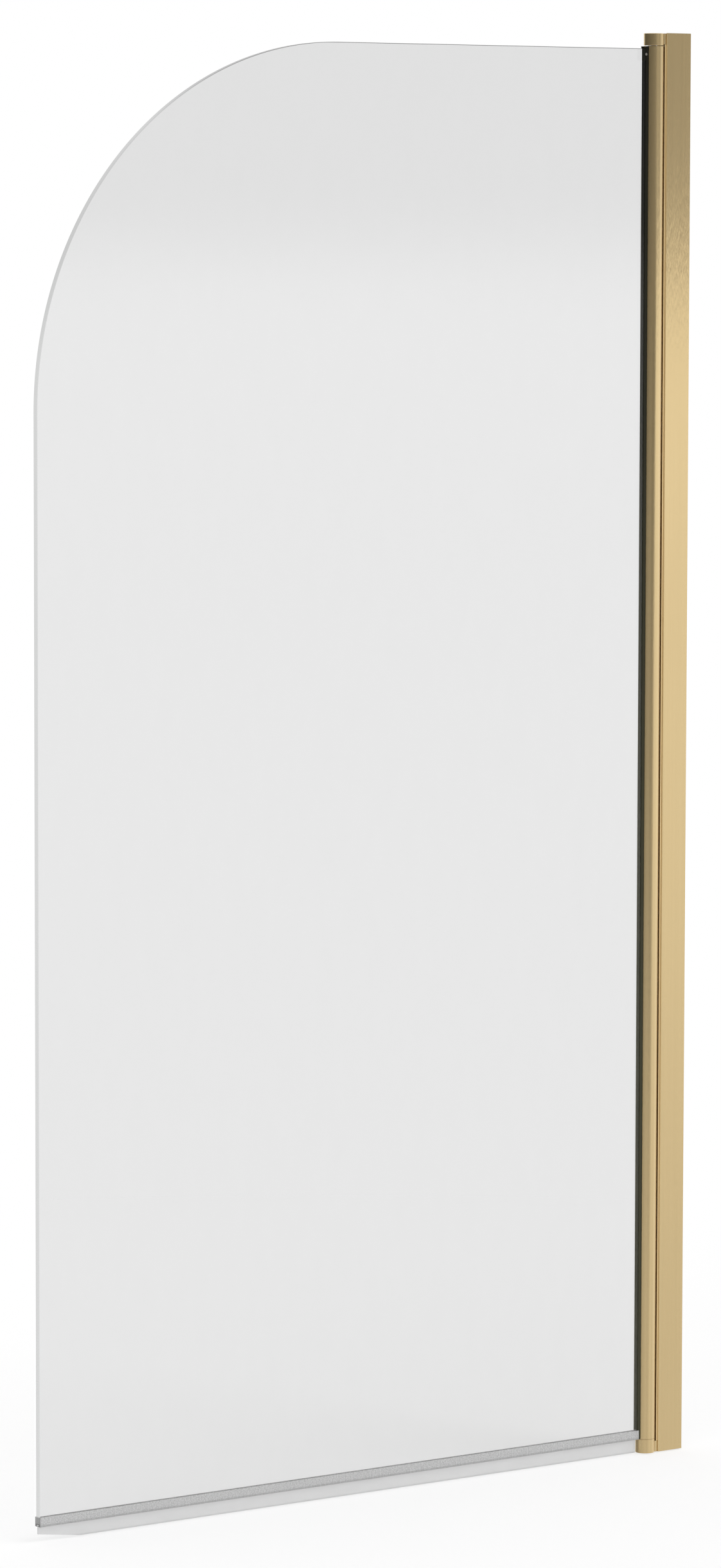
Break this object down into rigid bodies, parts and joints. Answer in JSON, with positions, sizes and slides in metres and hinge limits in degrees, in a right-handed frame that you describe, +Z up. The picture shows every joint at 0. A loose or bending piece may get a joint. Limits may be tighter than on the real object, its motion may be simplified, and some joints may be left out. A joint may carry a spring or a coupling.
{
  "type": "bath screen",
  "caption": "Hinged single-panel bath screen: round-cornered glass on a slim brass barrel that pivots beside a wall channel, with a bottom wiper seal.",
  "frame": {"origin": "on the wall plane, at the level of the bath rim under the channel, in the middle of the glass thickness", "axes": "+X towards the wall, +Y towards the rear (the side away from the viewer of the front), +Z up"},
  "size_m": [0.785, 0.0208, 1.433],
  "materials": {
    "brushed_brass": "brushed satin brass",
    "panel_glass": "clear toughened glass with a light grey cast, 6 mm, ground edges",
    "dark_gasket": "dark grey extruded rubber",
    "seal_plastic": "translucent clip-on profile",
    "blade_plastic": "soft translucent wiper blade",
    "steel": "plain stainless steel",
    "nylon": "natural nylon",
    "cover_plastic": "brass-coloured moulded covers",
    "plug_plastic": "dark moulded plug"
  },
  "bodies": {
    "wall_side": {"wall_channel": "brushed_brass", "hinge_post": "brushed_brass", "bottom_hinge_cap": "brushed_brass", "top_hinge_cap": "brushed_brass", "bottom_pivot_pin": "steel", "top_pivot_pin": "steel", "bottom_cap_screws": "steel", "top_cap_screws": "steel", "post_clamp_screws": "steel", "clamp_screw_covers": "cover_plastic", "channel_top_plug": "plug_plastic", "post_water_seal": "dark_gasket"},
    "panel_side": {"glass_panel": "panel_glass", "pivot_barrel": "brushed_brass", "glazing_boot": "dark_gasket", "boot_stud": "nylon", "glass_setting_block": "nylon", "bottom_pivot_bush": "nylon", "top_pivot_bush": "nylon", "bottom_seal_carrier": "seal_plastic", "bottom_seal_blade": "blade_plastic"}
  },
  "joints": [
    {"name": "panel_pivot", "type": "hinge", "parent": "wall_side", "child": "panel_side", "pos_m": [-0.0421, 0, 0.7], "axis": [0, 0, 1], "range_deg": [-90, 90]}
  ]
}
